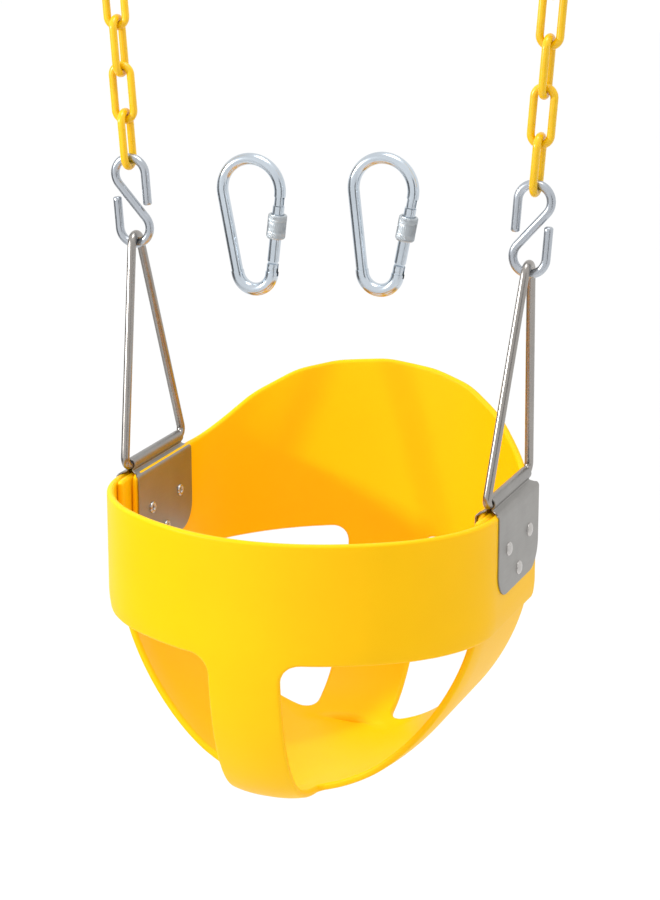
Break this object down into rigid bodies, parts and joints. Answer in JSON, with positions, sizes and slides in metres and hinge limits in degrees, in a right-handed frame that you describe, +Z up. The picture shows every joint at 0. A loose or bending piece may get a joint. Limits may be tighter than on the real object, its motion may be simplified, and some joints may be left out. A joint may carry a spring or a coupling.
{
  "type": "toddler bucket swing",
  "caption": "High-back toddler bucket swing: folded foam seat with leg openings, riveted hangers, wire triangles, S-hooks, coated chains and loose screw-lock carabiners.",
  "frame": {"origin": "midway between the upper wires of the two top chain links, where the swing is held up", "axes": "+Z up along the swing's height, -Y the way the child faces, +X to the viewer's right when looking at the front; the swing is mirrored about X = 0 apart from the loose carabiners"},
  "size_m": [0.3358, 0.277, 0.6062],
  "materials": {
    "yellow_foam": "satin moulded foam sheet",
    "satin_steel": "satin sheet",
    "rivet_steel": "bright domed",
    "polished_steel": "polished wire",
    "zinc_plate": "zinc plated",
    "bright_zinc": "bright zinc plated",
    "yellow_coat": "dipped plastic coat",
    "core_steel": "galvanised"
  },
  "bodies": {
    "top_links": {"link_coat_6_left": "yellow_coat", "link_coat_6_right": "yellow_coat", "link_core_6_left": "core_steel", "link_core_6_right": "core_steel", "carabiner_body_left": "bright_zinc", "carabiner_body_right": "bright_zinc", "carabiner_pin_left": "bright_zinc", "carabiner_pin_right": "bright_zinc"},
    "links_5": {"link_coat_5_left": "yellow_coat", "link_coat_5_right": "yellow_coat", "link_core_5_left": "core_steel", "link_core_5_right": "core_steel"},
    "links_4": {"link_coat_4_left": "yellow_coat", "link_coat_4_right": "yellow_coat", "link_core_4_left": "core_steel", "link_core_4_right": "core_steel"},
    "links_3": {"link_coat_3_left": "yellow_coat", "link_coat_3_right": "yellow_coat", "link_core_3_left": "core_steel", "link_core_3_right": "core_steel"},
    "links_2": {"link_coat_2_left": "yellow_coat", "link_coat_2_right": "yellow_coat", "link_core_2_left": "core_steel", "link_core_2_right": "core_steel"},
    "links_1": {"link_coat_1_left": "yellow_coat", "link_coat_1_right": "yellow_coat", "link_core_1_left": "core_steel", "link_core_1_right": "core_steel"},
    "s_hooks": {"s_hook_left": "zinc_plate", "s_hook_right": "zinc_plate"},
    "seat": {"bucket_shell": "yellow_foam", "hanger_plate_left": "satin_steel", "hanger_plate_right": "satin_steel", "rivets_left": "rivet_steel", "rivets_right": "rivet_steel", "triangle_left": "polished_steel", "triangle_right": "polished_steel"},
    "gate_left": {"carabiner_gate_left": "bright_zinc"},
    "sleeve_left": {"carabiner_sleeve_left": "bright_zinc"},
    "gate_right": {"carabiner_gate_right": "bright_zinc"},
    "sleeve_right": {"carabiner_sleeve_right": "bright_zinc"}
  },
  "joints": [
    {"name": "chain_swing", "type": "hinge", "parent": "top_links", "child": "links_5", "pos_m": [0, 0, -0.0372], "axis": [1, 0, 0], "range_deg": [-30, 30]},
    {"name": "link_5_to_4", "type": "hinge", "parent": "links_5", "child": "links_4", "pos_m": [0, 0, -0.06323], "axis": [1, 0, 0], "range_deg": [-8, 8]},
    {"name": "link_4_to_3", "type": "hinge", "parent": "links_4", "child": "links_3", "pos_m": [0, 0, -0.10043], "axis": [1, 0, 0], "range_deg": [-8, 8]},
    {"name": "link_3_to_2", "type": "hinge", "parent": "links_3", "child": "links_2", "pos_m": [0, 0, -0.12646], "axis": [1, 0, 0], "range_deg": [-8, 8]},
    {"name": "link_2_to_1", "type": "hinge", "parent": "links_2", "child": "links_1", "pos_m": [0, 0, -0.16366], "axis": [1, 0, 0], "range_deg": [-8, 8]},
    {"name": "s_hook_swing", "type": "hinge", "parent": "links_1", "child": "s_hooks", "pos_m": [0, 0, -0.18934], "axis": [1, 0, 0], "range_deg": [-8, 8]},
    {"name": "seat_tilt", "type": "hinge", "parent": "s_hooks", "child": "seat", "pos_m": [0, 0, -0.24868], "axis": [1, 0, 0], "range_deg": [-15, 15]},
    {"name": "gate_left", "type": "hinge", "parent": "top_links", "child": "gate_left", "pos_m": [-0.03925, 0, -0.25769], "axis": [0, -1, 0], "range_deg": [0, 18], "stiffness_Nm_per_rad": 0.05, "springref_deg": -22.92},
    {"name": "sleeve_left", "type": "slide", "parent": "gate_left", "child": "sleeve_left", "axis": [0.1133, 0, 0.9936], "range_m": [0, 0.009]},
    {"name": "gate_right", "type": "hinge", "parent": "top_links", "child": "gate_right", "pos_m": [0.05145, 0, -0.2524], "axis": [0, -1, 0], "range_deg": [0, 18], "stiffness_Nm_per_rad": 0.05, "springref_deg": -22.92},
    {"name": "sleeve_right", "type": "slide", "parent": "gate_right", "child": "sleeve_right", "axis": [0.1892, 0, 0.9819], "range_m": [0, 0.009]}
  ]
}
